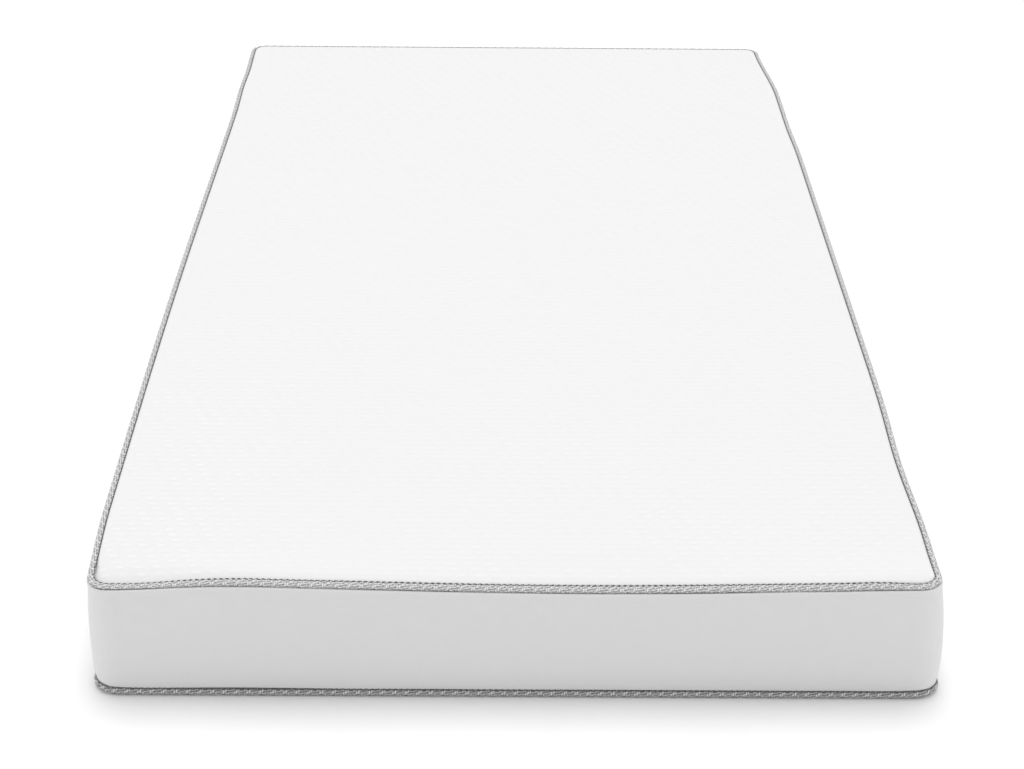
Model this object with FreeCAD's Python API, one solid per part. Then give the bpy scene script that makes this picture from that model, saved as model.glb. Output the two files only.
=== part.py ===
import FreeCAD
import Part
import math
import os

# Foam mattress in a zipped knit cover with rope piping, in millimetres.
# Origin: middle of the underside. +Z up, +Y along the length towards the head end, +X across.
# The zip and both labels are on the head end.

# Overall sizes
overall_width = 990.0           # across, over the bulge of the border
overall_length = 1905.0         # along, over the bulge of the border
overall_height = 152.0          # floor to the flat top
corner_radius = 32.0            # outermost corner of the border, in plan

# Piping
rope_diameter = 9.5
top_rope_inset = 5.0            # rope's outer side in from the border's outermost line, top edge
bottom_rope_inset = 1.5         # the same at the bottom edge
top_rope_drop = 6.0             # rope's middle below the flat top
rope_floor_gap = 0.25           # rope's underside above the floor
tape_thickness = 0.7            # flat lip of the rope, sewn into the seam
tape_bite = 0.4                 # the lip runs this far into the rope that it is braided to
seam_allowance = 10.0           # turned-in edges, inwards from the rope

# Cover fabrics
top_panel_thickness = 2.4
top_hem_thickness = 1.6
top_shoulder_width = 15.0       # where the flat top starts to fall towards the rope
border_thickness = 2.0
bottom_panel_thickness = 1.2
bulge_height_share = 0.48       # the border's outermost line, as a share of the height
fabric_gap = 0.25               # between neighbouring layers of fabric
sew_gap = 0.1                   # between layers that are sewn together

# Filling
barrier_thickness = 1.0         # knitted fire barrier sock
memory_foam_thickness = 50.0
glue_gap = 0.05                 # adhesive line between the two foams

# Zip in the head end of the border
zip_height = 30.0               # middle of the teeth above the floor
zip_window = 12.4               # opening between the two strips of the border
zip_end_margin = 14.5           # from the end of the chain to the corner
zip_tape_width = 14.0
zip_tape_thickness = 0.6
zip_slot = 1.6                  # between the two rows of teeth, where the slider's post runs
teeth_width = 2.5
teeth_thickness = 2.2
zip_recess_depth = 0.5          # extra room behind the slider
zip_recess_end = 3.0            # from the end of the recess to the corner
stop_length = 4.0
stop_gap = 1.0                  # slider to stop at either end of its travel

# Slider and pull
slider_length = 14.0
slider_width = 11.0
slider_plate = 1.2
slider_back_plate = 0.9
slider_flange = 1.1
slider_post = 0.9
slider_play = 0.35              # slider to tape, teeth and fabric
pin_radius = 0.7
pin_play = 0.1
bail_width = 7.4
bail_leg = 1.0
pull_eye_radius = 1.2
pull_neck_width = 4.8
pull_width = 8.0
pull_neck_length = 5.0
pull_length = 25.0
pull_thickness = 1.2

# Labels, sewn into the top seam of the head end
label_thickness = 0.5
law_label_width = 100.0
law_label_drop = 84.0
law_label_middle = 170.0
care_label_width = 36.0
care_label_drop = 58.0
care_label_middle = 80.0

# Places worked out from the sizes above
corner_x = overall_width / 2 - corner_radius
corner_y = overall_length / 2 - corner_radius
rope_radius = rope_diameter / 2
gutter = rope_radius + fabric_gap
top_rope_out = corner_radius - top_rope_inset - rope_radius
bottom_rope_out = corner_radius - bottom_rope_inset - rope_radius
top_seam = overall_height - top_rope_drop
bottom_seam = rope_radius + rope_floor_gap
bulge_height = overall_height * bulge_height_share


def vec(out, height):
    # A point of a cross-section: distance out from the corner's axis, and height
    return FreeCAD.Vector(out, 0, height)


def round_point(out, height, radius, degrees):
    angle = math.radians(degrees)
    return vec(out + radius * math.cos(angle), height + radius * math.sin(angle))


def gutter_out(out, radius, rise):
    # Inner side of a circle about a rope, at a height above or below its middle
    return out - math.sqrt(radius ** 2 - rise ** 2)


def lines(points):
    return [Part.LineSegment(a, b).toShape() for a, b in zip(points, points[1:])]


def arc(start, middle, end):
    return Part.Arc(start, middle, end).toShape()


def face_of(edges):
    return Part.Face(Part.Wire(edges))


# The border's outer surface is one shallow arc from the top gutter to the bottom gutter
bulge_top = round_point(top_rope_out, top_seam, gutter, 300)
bulge_bottom = round_point(bottom_rope_out, bottom_seam, gutter, 60)
bulge = Part.ArcOfCircle(bulge_top, vec(corner_radius, bulge_height), bulge_bottom)


def bulge_point(height, inset):
    # A point on the arc that lies a distance inside the border's outer surface
    reach = bulge.Radius - inset
    rise = height - bulge.Center.z
    return vec(bulge.Center.x + math.sqrt(reach ** 2 - rise ** 2), height)


def bulge_band(low, high, outer, inner):
    # Cross-section of a layer that follows the border between two heights
    middle = (low + high) / 2
    outside = [bulge_point(h, outer) for h in (low, middle, high)]
    inside = [bulge_point(h, inner) for h in (high, middle, low)]
    return face_of([arc(*outside)] + lines([outside[2], inside[0]])
                   + [arc(*inside)] + lines([inside[2], outside[0]]))


sides = {
    "right": (0, corner_x, -corner_y, 2 * corner_y),
    "rear": (90, corner_x, corner_y, 2 * corner_x),
    "left": (180, -corner_x, corner_y, 2 * corner_y),
    "front": (270, -corner_x, -corner_y, 2 * corner_x),
}
axis_z = FreeCAD.Vector(0, 0, 1)


def side_run(face, name):
    # The cross-section drawn along one straight side
    degrees, x, y, length = sides[name]
    run = face.copy()
    run.rotate(FreeCAD.Vector(0, 0, 0), axis_z, degrees)
    run.translate(FreeCAD.Vector(x, y, 0))
    angle = math.radians(degrees)
    return run.extrude(FreeCAD.Vector(-math.sin(angle) * length, math.cos(angle) * length, 0))


def corner_turn(face, name):
    # The cross-section turned through the corner that follows a side
    degrees, x, y, length = sides[name]
    angle = math.radians(degrees)
    middle = FreeCAD.Vector(x - math.sin(angle) * length, y + math.cos(angle) * length, 0)
    turn = face.copy()
    turn.rotate(FreeCAD.Vector(0, 0, 0), axis_z, degrees)
    turn.translate(middle)
    return turn.revolve(middle, axis_z, 90)


def join(pieces):
    return pieces[0].fuse(pieces[1:]).removeSplitter()


def ring(face):
    pieces = []
    for name in sides:
        pieces.append(side_run(face, name))
        pieces.append(corner_turn(face, name))
    return join(pieces)


def rim_slab(face, low, high):
    # A panel or block with a shaped rim: flat between two heights over its middle
    middle = Part.makeBox(2 * corner_x, 2 * corner_y, high - low,
                          FreeCAD.Vector(-corner_x, -corner_y, low))
    return join([ring(face), middle])


# Top panel: flat, a soft shoulder, then its edge turned in above the tape
top_inner = top_rope_out - gutter
top_hem_low = top_seam + tape_thickness / 2 + sew_gap
top_hem_high = top_hem_low + top_hem_thickness
top_underside = overall_height - top_panel_thickness
shoulder_start = top_inner - top_shoulder_width
hem_end = top_inner - seam_allowance


def top_panel():
    outside_end = vec(top_inner, top_hem_high)
    inside_end = vec(top_inner - top_panel_thickness, top_hem_high + fabric_gap)
    outside = arc(vec(shoulder_start, overall_height),
                  vec(top_inner - 0.36 * top_shoulder_width, overall_height - 0.24 * top_rope_drop),
                  outside_end)
    inside = arc(inside_end,
                 vec(top_inner - 0.5 * top_shoulder_width, top_underside - 0.08 * top_rope_drop),
                 vec(shoulder_start, top_underside))
    edges = lines([vec(0, top_underside), vec(0, overall_height), vec(shoulder_start, overall_height)])
    edges.append(outside)
    edges += lines([outside_end, vec(top_inner, top_hem_low), vec(hem_end, top_hem_low),
                    vec(hem_end, top_hem_high), inside_end])
    edges.append(inside)
    edges += lines([vec(shoulder_start, top_underside), vec(0, top_underside)])
    return rim_slab(face_of(edges), top_underside, overall_height)


# Border: its upper edge turned in below the top tape, round the rope, out over the bulge,
# round the bottom rope and in again above the bottom tape
border_top_hem = top_seam - tape_thickness / 2 - sew_gap
border_bottom_hem = bottom_seam + tape_thickness / 2 + sew_gap
bottom_inner = bottom_rope_out - gutter
bottom_hem_end = bottom_inner - seam_allowance
inner_gutter = gutter + border_thickness


def border_section():
    top_rise = border_top_hem - top_seam
    top_rise_inside = top_rise - border_thickness
    bottom_rise = border_bottom_hem - bottom_seam
    bottom_rise_inside = bottom_rise + border_thickness
    a = vec(hem_end, border_top_hem)
    b = vec(gutter_out(top_rope_out, gutter, top_rise), border_top_hem)
    c = round_point(bottom_rope_out, bottom_seam, gutter, 60)
    d = vec(gutter_out(bottom_rope_out, gutter, bottom_rise), border_bottom_hem)
    e = vec(bottom_hem_end, border_bottom_hem)
    f = vec(bottom_hem_end, border_bottom_hem + border_thickness)
    g = vec(gutter_out(bottom_rope_out, inner_gutter, bottom_rise_inside), f.z)
    h = bulge_point(bottom_seam + inner_gutter, border_thickness)
    j = bulge_point(top_seam - inner_gutter, border_thickness)
    k = vec(gutter_out(top_rope_out, inner_gutter, top_rise_inside), border_top_hem - border_thickness)
    m = vec(hem_end, border_top_hem - border_thickness)
    edges = lines([a, b])
    edges.append(arc(b, round_point(top_rope_out, top_seam, gutter, 240), bulge_top))
    edges.append(bulge.toShape())
    edges.append(arc(c, round_point(bottom_rope_out, bottom_seam, gutter, 120), d))
    edges += lines([d, e, f, g])
    edges.append(arc(g, round_point(bottom_rope_out, bottom_seam, inner_gutter, 125), h))
    edges.append(arc(h, bulge_point(bulge_height, border_thickness), j))
    edges.append(arc(j, round_point(top_rope_out, top_seam, inner_gutter, 240), k))
    edges += lines([k, m, a])
    return face_of(edges)


def half_plane(low, high):
    reach = 4 * corner_radius
    return face_of(lines([vec(-reach, low), vec(reach, low), vec(reach, high),
                          vec(-reach, high), vec(-reach, low)]))


window_low = zip_height - zip_window / 2
window_high = zip_height + zip_window / 2


def border_front_and_sides():
    section = border_section()
    pieces = [corner_turn(section, "right")]
    pieces.append(side_run(section, "right"))
    pieces.append(corner_turn(section, "front"))
    pieces.append(side_run(section, "front"))
    pieces.append(corner_turn(section, "left"))
    pieces.append(side_run(section, "left"))
    pieces.append(corner_turn(section, "rear"))
    return join(pieces)


def border_rear(low, high):
    section = border_section().common(half_plane(low, high)).Faces[0]
    return side_run(section, "rear")


# Bottom panel: flat on the floor, curved up beside the rope, its edge turned in below the tape
bottom_hem_high = bottom_seam - tape_thickness / 2 - sew_gap
bottom_hem_low = bottom_hem_high - bottom_panel_thickness


def bottom_panel():
    thick = bottom_panel_thickness
    rise = bottom_hem_low
    start = bottom_inner - rise
    bend = rise * math.sqrt(0.5)
    inner_start = start - fabric_gap
    edges = lines([vec(0, 0), vec(start, 0)])
    edges.append(arc(vec(start, 0), vec(start + bend, rise - bend), vec(bottom_inner, rise)))
    edges += lines([vec(bottom_inner, rise), vec(bottom_inner, bottom_hem_high),
                    vec(bottom_hem_end, bottom_hem_high), vec(bottom_hem_end, bottom_hem_low),
                    vec(bottom_inner - thick, bottom_hem_low),
                    vec(inner_start, thick), vec(0, thick), vec(0, 0)])
    return rim_slab(face_of(edges), 0, thick)


def rope(out, height):
    circle = Part.Circle(vec(out, height), FreeCAD.Vector(0, 1, 0), rope_radius).toShape()
    return ring(Part.Face(Part.Wire([circle])))


def piping_tape(out, height, inner_end):
    low = height - tape_thickness / 2
    high = height + tape_thickness / 2
    outer_end = out - rope_radius + tape_bite
    return ring(face_of(lines([vec(inner_end, low), vec(outer_end, low), vec(outer_end, high),
                               vec(inner_end, high), vec(inner_end, low)])))


# Zip frame: straight across the head end, tilted to lie along the border at the zip's height.
# Its own axes are x along the zip, y up the border and z straight out of it.
zip_tilt = math.degrees(math.asin((bulge.Center.z - zip_height) / bulge.Radius))
zip_point = bulge_point(zip_height, 0)
zip_origin = FreeCAD.Vector(0, corner_y + zip_point.x, zip_point.z)
zip_half = corner_x - zip_end_margin
tape_sag = (zip_tape_width + zip_slot) ** 2 / (2 * bulge.Radius)
tape_front = -(border_thickness + tape_sag + fabric_gap / 2)
tape_back = tape_front - zip_tape_thickness
teeth_front = tape_front + teeth_thickness
back_plate_front = tape_back - slider_play
back_plate_back = back_plate_front - slider_back_plate
front_plate_back = teeth_front + slider_play
front_plate_front = front_plate_back + slider_plate


def zip_box(x_range, y_range, z_range):
    return Part.makeBox(x_range[1] - x_range[0], y_range[1] - y_range[0], z_range[1] - z_range[0],
                        FreeCAD.Vector(x_range[0], y_range[0], z_range[0]))


def to_zip_frame(shape, tilt=zip_tilt):
    placed = shape.copy()
    placed.rotate(FreeCAD.Vector(0, 0, 0), FreeCAD.Vector(1, 0, 0), 90)
    placed.rotate(FreeCAD.Vector(0, 0, 0), FreeCAD.Vector(0, 0, 1), 180)
    placed.rotate(FreeCAD.Vector(0, 0, 0), FreeCAD.Vector(1, 0, 0), -tilt)
    placed.translate(zip_origin)
    return placed


def mirrored(low, high, upper):
    return (low, high) if upper else (-high, -low)


def zip_tape(upper):
    inner = zip_slot / 2
    reach = corner_x - 1.5 * zip_recess_end
    return to_zip_frame(zip_box((-reach, reach), mirrored(inner, inner + zip_tape_width, upper),
                                (tape_back, tape_front)))


def zip_teeth(upper):
    inner = zip_slot / 2
    reach = zip_half - stop_length
    bar = zip_box((-reach, reach), mirrored(inner, inner + teeth_width, upper),
                  (tape_front, teeth_front))
    front_edges = [e for e in bar.Edges
                   if e.BoundBox.XLength > reach and e.BoundBox.ZMin > teeth_front - sew_gap]
    return to_zip_frame(bar.makeFillet(teeth_width / 3, front_edges))


def zip_bottom_stop():
    reach = zip_slot / 2 + teeth_width
    stop = zip_box((zip_half - stop_length, zip_half), (-reach, reach), (tape_front, teeth_front))
    return to_zip_frame(stop.makeFillet(teeth_thickness / 6, stop.Edges))


def zip_top_stops():
    stops = []
    for upper in (True, False):
        stop = zip_box((-zip_half, stop_length - zip_half),
                       mirrored(zip_slot / 2, zip_slot / 2 + teeth_width, upper),
                       (tape_front, teeth_front))
        stops.append(to_zip_frame(stop.makeFillet(teeth_thickness / 6, stop.Edges)))
    return Part.makeCompound(stops)


def zip_end_tabs():
    half_window = zip_window / 2 - fabric_gap
    tabs = []
    for side in (-1, 1):
        ends = sorted((side * (zip_half + stop_gap), side * (zip_half + zip_end_margin - fabric_gap)))
        tabs.append(to_zip_frame(zip_box(ends, (-half_window, half_window), (-border_thickness, 0))))
    return Part.makeCompound(tabs)


# The slider stands at the closed end, on the +X side, and opens the cover towards -X
slider_rest = zip_half - stop_length - stop_gap - slider_length / 2
slider_travel = 2 * slider_rest
pin_out = front_plate_front + pull_eye_radius + slider_play + 0.3


def zip_slider_body():
    half_length = slider_length / 2
    half_width = slider_width / 2
    ends = (-slider_rest - half_length, -slider_rest + half_length)
    front = zip_box(ends, (-half_width, half_width), (front_plate_back, front_plate_front))
    back = zip_box(ends, (-half_width, half_width), (back_plate_back, back_plate_front))
    post = zip_box((-slider_rest - half_length / 3, -slider_rest + half_length / 3),
                   (-slider_post / 2, slider_post / 2), (back_plate_front, front_plate_back))
    pieces = [front, back, post]
    for upper in (True, False):
        pieces.append(zip_box(ends, mirrored(half_width - slider_flange, half_width, upper),
                              (tape_front + slider_play, front_plate_back)))
    body = to_zip_frame(join(pieces))
    bail = []
    for upper in (True, False):
        leg = mirrored(bail_width / 2 - bail_leg, bail_width / 2, upper)
        bail.append(zip_box((-slider_rest - bail_leg, -slider_rest + bail_leg), leg,
                            (front_plate_front - slider_plate / 2, pin_out + pin_radius + pin_play)))
    pin = Part.makeCylinder(pin_radius, bail_width - bail_leg,
                            FreeCAD.Vector(-slider_rest, (bail_leg - bail_width) / 2, pin_out),
                            FreeCAD.Vector(0, 1, 0))
    upright = to_zip_frame(join(bail + [pin]), 0)
    return join([body, upright])


def zip_pull_tab():
    start = -slider_rest
    eye = Part.makeCylinder(pull_eye_radius, pull_neck_width,
                            FreeCAD.Vector(start, -pull_neck_width / 2, pin_out),
                            FreeCAD.Vector(0, 1, 0))
    faces = (pin_out - pull_thickness / 2, pin_out + pull_thickness / 2)
    neck = zip_box((start, start + pull_neck_length + 1), (-pull_neck_width / 2, pull_neck_width / 2),
                   faces)
    tab = zip_box((start + pull_neck_length, start + pull_length), (-pull_width / 2, pull_width / 2),
                  faces)
    upright_edges = [e for e in tab.Edges if e.BoundBox.ZLength > pull_thickness / 2]
    tab = tab.makeFillet(pull_width / 4, upright_edges)
    bore = Part.makeCylinder(pin_radius + pin_play, 2 * bail_width,
                             FreeCAD.Vector(start, -bail_width, pin_out), FreeCAD.Vector(0, 1, 0))
    hole = Part.makeCylinder(pull_width / 5, 2 * pull_thickness,
                             FreeCAD.Vector(start + pull_length - pull_width / 2, 0,
                                            pin_out - pull_thickness))
    return to_zip_frame(join([eye, neck, tab]).cut(bore).cut(hole), 0)


# Filling: the space inside the cover, then the sock and the two foams nested in it
cover_low = bottom_panel_thickness
cover_high = top_underside
seam_room = 1.2                 # between the turned-in edges and the filling


def filling_section(inset, low, high):
    # Cross-section of the filling, an even distance inside the cover, between two heights
    side = border_thickness + fabric_gap
    rim = bulge_point(bottom_seam + inner_gutter + 2 * seam_room, side)
    crest = bulge_point(top_seam - inner_gutter - 2 * seam_room, side)
    wide = -2 * corner_radius
    edges = lines([
        vec(wide, cover_high), vec(wide, cover_low),
        vec(bottom_hem_end - 2 * seam_room, cover_low),
        vec(bottom_hem_end - seam_room, border_bottom_hem + border_thickness + seam_room),
        vec(bottom_rope_out - inner_gutter, bottom_seam + inner_gutter),
        rim])
    edges.append(arc(rim, bulge_point(bulge_height, side), crest))
    edges += lines([
        crest,
        vec(top_rope_out - inner_gutter, top_seam - inner_gutter),
        vec(hem_end - seam_room, border_top_hem - border_thickness - seam_room),
        vec(hem_end - 2 * seam_room, cover_high),
        vec(wide, cover_high)])
    shrunk = face_of(edges).makeOffset2D(-inset, 2, False, False, False)
    reach = 4 * corner_radius
    kept = face_of(lines([vec(0, low), vec(reach, low), vec(reach, high), vec(0, high), vec(0, low)]))
    return shrunk.common(kept).Faces[0]


def zip_recess(wall):
    # Hollow that the zip presses into the filling; wall makes it deeper for the layer inside
    reach_x = corner_x - zip_recess_end + wall
    reach_y = zip_slot / 2 + zip_tape_width + zip_recess_depth + wall
    depth = back_plate_back - zip_recess_depth - wall
    return to_zip_frame(zip_box((-reach_x, reach_x), (-reach_y, reach_y), (depth, zip_window)))


def filling(inset, wall, low, high):
    return rim_slab(filling_section(inset, low, high), low, high).cut(zip_recess(wall))


def fire_barrier_sock():
    inside = fabric_gap + barrier_thickness
    outer = filling(fabric_gap, 0, cover_low + fabric_gap, cover_high - fabric_gap)
    inner = filling(inside, barrier_thickness, cover_low + inside, cover_high - inside)
    return outer.cut(inner)


foam_inset = 2 * fabric_gap + barrier_thickness
layer_joint = cover_high - foam_inset - memory_foam_thickness


def memory_foam_layer():
    return filling(foam_inset, barrier_thickness + fabric_gap,
                   layer_joint + glue_gap / 2, cover_high - foam_inset)


def base_foam_layer():
    return filling(foam_inset, barrier_thickness + fabric_gap,
                   cover_low + foam_inset, layer_joint - glue_gap / 2)


def label(middle, width, drop):
    # Hangs from the top seam, flat against the border
    high = bulge_top.z - fabric_gap
    section = bulge_band(high - drop, high, -fabric_gap - label_thickness, -fabric_gap)
    strip = side_run(section, "rear")
    keep = Part.makeBox(width, overall_length, overall_height,
                        FreeCAD.Vector(-middle - width / 2, 0, 0))
    return strip.common(keep)


nodes = {
    "top_panel": top_panel(),
    "border_front_and_sides": border_front_and_sides(),
    "border_rear_upper": border_rear(window_high, overall_height),
    "border_rear_lower": border_rear(0, window_low),
    "bottom_panel": bottom_panel(),
    "top_piping_cord": rope(top_rope_out, top_seam),
    "top_piping_tape": piping_tape(top_rope_out, top_seam, hem_end + 1),
    "bottom_piping_cord": rope(bottom_rope_out, bottom_seam),
    "bottom_piping_tape": piping_tape(bottom_rope_out, bottom_seam, bottom_hem_end + 1),
    "fire_barrier_sock": fire_barrier_sock(),
    "memory_foam_layer": memory_foam_layer(),
    "base_foam_layer": base_foam_layer(),
    "zip_tape_upper": zip_tape(True),
    "zip_tape_lower": zip_tape(False),
    "zip_teeth_upper": zip_teeth(True),
    "zip_teeth_lower": zip_teeth(False),
    "zip_bottom_stop": zip_bottom_stop(),
    "zip_top_stops": zip_top_stops(),
    "zip_end_tabs": zip_end_tabs(),
    "zip_slider_body": zip_slider_body(),
    "zip_pull_tab": zip_pull_tab(),
    "law_label": label(law_label_middle, law_label_width, law_label_drop),
    "care_label": label(care_label_middle, care_label_width, care_label_drop),
}

os.makedirs("parts", exist_ok=True)
for name, shape in nodes.items():
    shape.exportStep("parts/" + name + ".step")
    box = shape.BoundBox
    print(name, "solids", len(shape.Solids), "valid", shape.isValid(),
          "x %.1f..%.1f y %.1f..%.1f z %.2f..%.2f" % (box.XMin, box.XMax, box.YMin, box.YMax,
                                                      box.ZMin, box.ZMax))
print("slider at x %.1f, travel %.1f" % (slider_rest, slider_travel))
print("pull pin at x %.2f y %.2f z %.2f" % (slider_rest, zip_origin.y + pin_out, zip_origin.z))
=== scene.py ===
import bmesh
import bpy
import math
import numpy as np
from mathutils import Matrix, Vector


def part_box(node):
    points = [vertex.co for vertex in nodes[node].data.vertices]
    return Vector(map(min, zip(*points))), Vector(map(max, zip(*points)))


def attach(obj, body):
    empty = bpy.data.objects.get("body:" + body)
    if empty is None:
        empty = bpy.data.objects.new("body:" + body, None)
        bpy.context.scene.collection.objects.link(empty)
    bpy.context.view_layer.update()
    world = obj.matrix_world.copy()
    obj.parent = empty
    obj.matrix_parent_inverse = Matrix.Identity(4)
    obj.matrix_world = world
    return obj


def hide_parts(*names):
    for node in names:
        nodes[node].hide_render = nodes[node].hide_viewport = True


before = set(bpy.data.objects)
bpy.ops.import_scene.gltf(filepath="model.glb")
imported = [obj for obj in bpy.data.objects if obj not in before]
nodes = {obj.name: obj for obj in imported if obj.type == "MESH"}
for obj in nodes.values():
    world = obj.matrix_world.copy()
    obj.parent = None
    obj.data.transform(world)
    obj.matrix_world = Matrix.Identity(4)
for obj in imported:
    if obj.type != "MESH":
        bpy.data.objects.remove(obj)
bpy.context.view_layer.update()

scene = bpy.context.scene

# sizes that every piece shares, in metres, read from the frame
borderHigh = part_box("border_front_and_sides")[1]
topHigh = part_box("top_panel")[1]
cordLow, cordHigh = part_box("top_piping_cord")
footLow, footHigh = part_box("bottom_piping_cord")
halfWidth, halfLength, height = borderHigh.x, borderHigh.y, topHigh.z
cordRadius = (cordHigh.z - cordLow.z) / 2
topSeam = (cordHigh.z + cordLow.z) / 2
footSeam = (footHigh.z + footLow.z) / 2

plan = {
    "corner": 0.032,  # radius of the border's outermost corner
    "rope": 0.00435,  # half the thickness that the piping is pulled down to by its sewing
    "flatSpots": [(-0.425, 0.060, 0.45), (0.455, 0.022, 0.35)],  # where it is pulled flat: x, width, share
}
# how the sewn cover leaves the straight line: metres out from the side, or up
lean = {
    "leftShift": -0.0013,
    "leftWander": 0.0033,  # slow bow in and out along the left side
    "leftHumps": [(0.71, 0.08, 0.0028), (0.90, 0.07, 0.0022)],  # y, width, how far out
    "leftFoot": -0.0054,  # the left foot corner is drawn in
    "leftFootTop": 0.25,  # and this share less at the top
    "rightShift": 0.0016,
    "rightHumps": [(-0.66, 0.12, -0.0045)],  # a waist towards the foot end
    "rightSteps": [(0.38, 0.54, -0.0035), (0.68, 0.93, -0.0150)],  # y from, y to, how far out
    "rightFoot": -0.0030,
    "rightBelly": 0.0016,  # the right foot corner is full at half height
    "flare": 0.0060,  # and stands out low down
    "wave": 0.0029,  # rise and dip of the top edge at the foot end
    "waveLength": 0.82,
    "waveDip": 0.08,  # x of its lowest place
    "waveSteps": [(-0.35, -0.45, -1.0), (0.36, 0.42, 0.35)],  # from, to, share of the wave
    "waveHumps": [(-0.31, 0.05, 0.45)],
    "cornerLift": 0.0016,  # the bottom piping rises at both foot corners
    "footZone": (0.78, 0.94),  # -y over which the foot corners lean
    "rimZone": (0.86, 0.945),  # -y over which the foot end's edges wave
    "zipZone": (0.88, 0.93),  # y over which the sides give way to the straight zip
    "cornerZone": (0.435, 0.49),  # distance from the middle at which the bottom corners rise
}
cornerX, cornerY = halfWidth - plan["corner"], halfLength - plan["corner"]
cordOut = cordHigh.x - cordRadius - cornerX  # rope centres, measured out from the corner axis
footOut = footHigh.x - cordRadius - cornerX
seed = np.random.default_rng(7)


def xyz(x, y, z):
    return np.stack(np.broadcast_arrays(x, y, z), -1)


def unit(vectors):
    return vectors / np.linalg.norm(vectors, axis=1)[:, None]


def ease(value, start, end):
    t = np.clip((value - start) / (end - start), 0, 1)
    return t * t * (3 - 2 * t)


def hump(value, middle, width):
    return np.exp(-((value - middle) / width) ** 2)


def unevenness(value, humps, steps=()):
    bumps = sum(size * hump(value, middle, width) for middle, width, size in humps)
    return bumps + sum(size * ease(value, start, end) for start, end, size in steps)


def settle(points):
    # the small ways in which a real mattress is not a perfect block; nothing moves at the zip
    p = np.array(points, float)
    x, y, z = p[:, 0].copy(), p[:, 1].copy(), p[:, 2].copy()
    up = np.clip(z / height, 0, 1)
    foot = ease(-y, *lean["footZone"])
    left = lean["leftShift"] + lean["leftWander"] * np.cos(math.pi * (y + 0.2))
    left = left + unevenness(y, lean["leftHumps"])
    left = left + lean["leftFoot"] * foot * (1 - lean["leftFootTop"] * ease(up, 0.85, 0.97))
    right = lean["rightShift"] + unevenness(y, lean["rightHumps"], lean["rightSteps"])
    low, belly = 1 - ease(up, 0.05, 0.95), hump(up, 0.55, 0.3)
    right = right + foot * (lean["flare"] * low + lean["rightFoot"] + lean["rightBelly"] * belly)
    zipRows = ease(y, *lean["zipZone"]) * (1 - ease(up, 0.42, 0.8))
    across = np.clip(np.abs(x) / halfWidth, 0, 1) ** 3
    across = across * (1 - zipRows) + zipRows * np.clip((np.abs(x) - cornerX) / plan["corner"], 0, 1)
    p[:, 0] += np.where(x < 0, -left, right) * across
    rim = ease(-y, *lean["rimZone"])
    wave = -np.cos(2 * math.pi * (x - lean["waveDip"]) / lean["waveLength"])
    wave = wave + unevenness(x, lean["waveHumps"], lean["waveSteps"])
    p[:, 2] += lean["wave"] * wave * rim * ease(up, 0.3, 0.95)
    atCorner = ease(np.abs(x), *lean["cornerZone"])
    p[:, 2] += lean["cornerLift"] * atCorner * rim * ease(1 - up, 0.86, 0.99)
    return p


# the plan: a path of corner axes with outward normals, walked from the head end's left corner
def walk(stretches, step, turns):
    axes, normals = [], []
    corners = {
        "headLeft": (-cornerX, cornerY, 90), "footLeft": (-cornerX, -cornerY, 180),
        "footRight": (cornerX, -cornerY, 270), "headRight": (cornerX, cornerY, 0),
    }
    runs = {
        "left": ("headLeft", "footLeft"), "foot": ("footLeft", "footRight"),
        "right": ("footRight", "headRight"), "head": ("headRight", "headLeft"),
    }
    for name in stretches:
        if name in corners:
            x, y, start = corners[name]
            for k in range(turns):
                axes.append((x, y))
                normals.append(math.radians(start + 90 * k / turns))
        else:
            (ax, ay, _), (bx, by, angle) = [corners[end] for end in runs[name]]
            count = max(2, round(math.dist((ax, ay), (bx, by)) / step))
            for k in range(count):
                axes.append((ax + (bx - ax) * k / count, ay + (by - ay) * k / count))
                normals.append(math.radians(angle))
    return np.array(axes), np.array(normals)


allRound = ["headLeft", "left", "footLeft", "foot", "footRight", "right", "headRight", "head"]


def placed(axes, normals, out, z):
    # points at a distance out from the corner axes
    x = axes[:, 0] + out * np.cos(normals)
    y = axes[:, 1] + out * np.sin(normals)
    return xyz(x, y, z)


def outward(x, y, out):
    # points moved to a distance out from the nearest corner axis, for a rim that may be round or straight
    ax, ay = np.clip(x, -cornerX, cornerX), np.clip(y, -cornerY, cornerY)
    dx, dy = x - ax, y - ay
    size = np.maximum(np.hypot(dx, dy), 1e-9)
    return ax + dx / size * out, ay + dy / size * out


def lengthAlong(points):
    steps = np.linalg.norm(np.diff(points, axis=0), axis=1)
    return np.concatenate([[0], np.cumsum(steps)])


def pointsAt(points, along, at):
    return xyz(*[np.interp(at, along, points[:, k]) for k in range(3)])


def gridFaces(rows, columns, wrapRows=False, wrapColumns=False, start=0):
    index = start + np.arange(rows * columns).reshape(rows, columns)
    if wrapRows:
        index = np.vstack([index, index[:1]])
    if wrapColumns:
        index = np.hstack([index, index[:, :1]])
    quads = np.stack([index[:-1, :-1], index[1:, :-1], index[1:, 1:], index[:-1, 1:]], -1)
    return quads.reshape(-1, 4)


def tubeFaces(count, around):
    # rings joined into a tube that is closed at both ends
    ends = [list(range(around)), [(count - 1) * around + k for k in range(around)][::-1]]
    return gridFaces(count, around, wrapColumns=True).tolist() + ends


def gridRim(columns, rows):
    index = np.arange(columns * rows).reshape(columns, rows)
    return np.concatenate([index[:, 0], index[-1, 1:], index[-2::-1, -1], index[0, -2:0:-1]])


def addObject(name, data):
    thing = bpy.data.objects.new(name, data)
    scene.collection.objects.link(thing)
    return thing


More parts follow.
